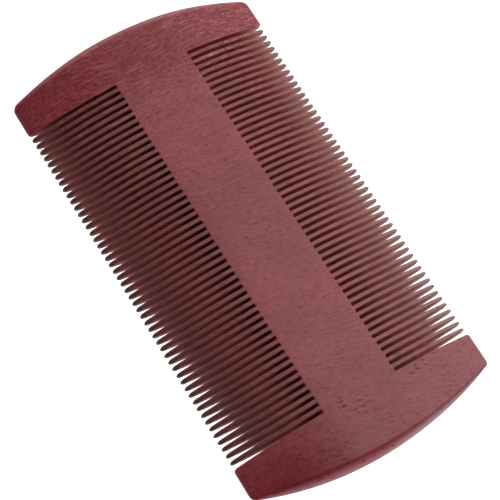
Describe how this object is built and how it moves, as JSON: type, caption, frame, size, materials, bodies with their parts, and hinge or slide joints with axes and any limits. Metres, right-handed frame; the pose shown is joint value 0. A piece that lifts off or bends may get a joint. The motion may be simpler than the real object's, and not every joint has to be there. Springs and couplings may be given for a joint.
{
  "type": "beard comb",
  "caption": "Double-sided fine-tooth beard comb cut from one piece of red hardwood, with bowed ends, solid end guards and a crowned, oiled body.",
  "frame": {"origin": "midway along the two rows of teeth, 0.28 mm from the middle of the comb's length, and halfway through its width and thickness", "axes": "+X along the comb's length, +Y along the teeth and the grain, +Z through the thickness, out of the upper face"},
  "size_m": [0.1007, 0.055, 0.011],
  "materials": {
    "red_hardwood": "plum-red hardwood, finely sanded and oiled to a soft satin, grain along the teeth, saw-cut slot walls darker"
  },
  "bodies": {
    "root": {"comb": "red_hardwood"}
  },
  "joints": []
}
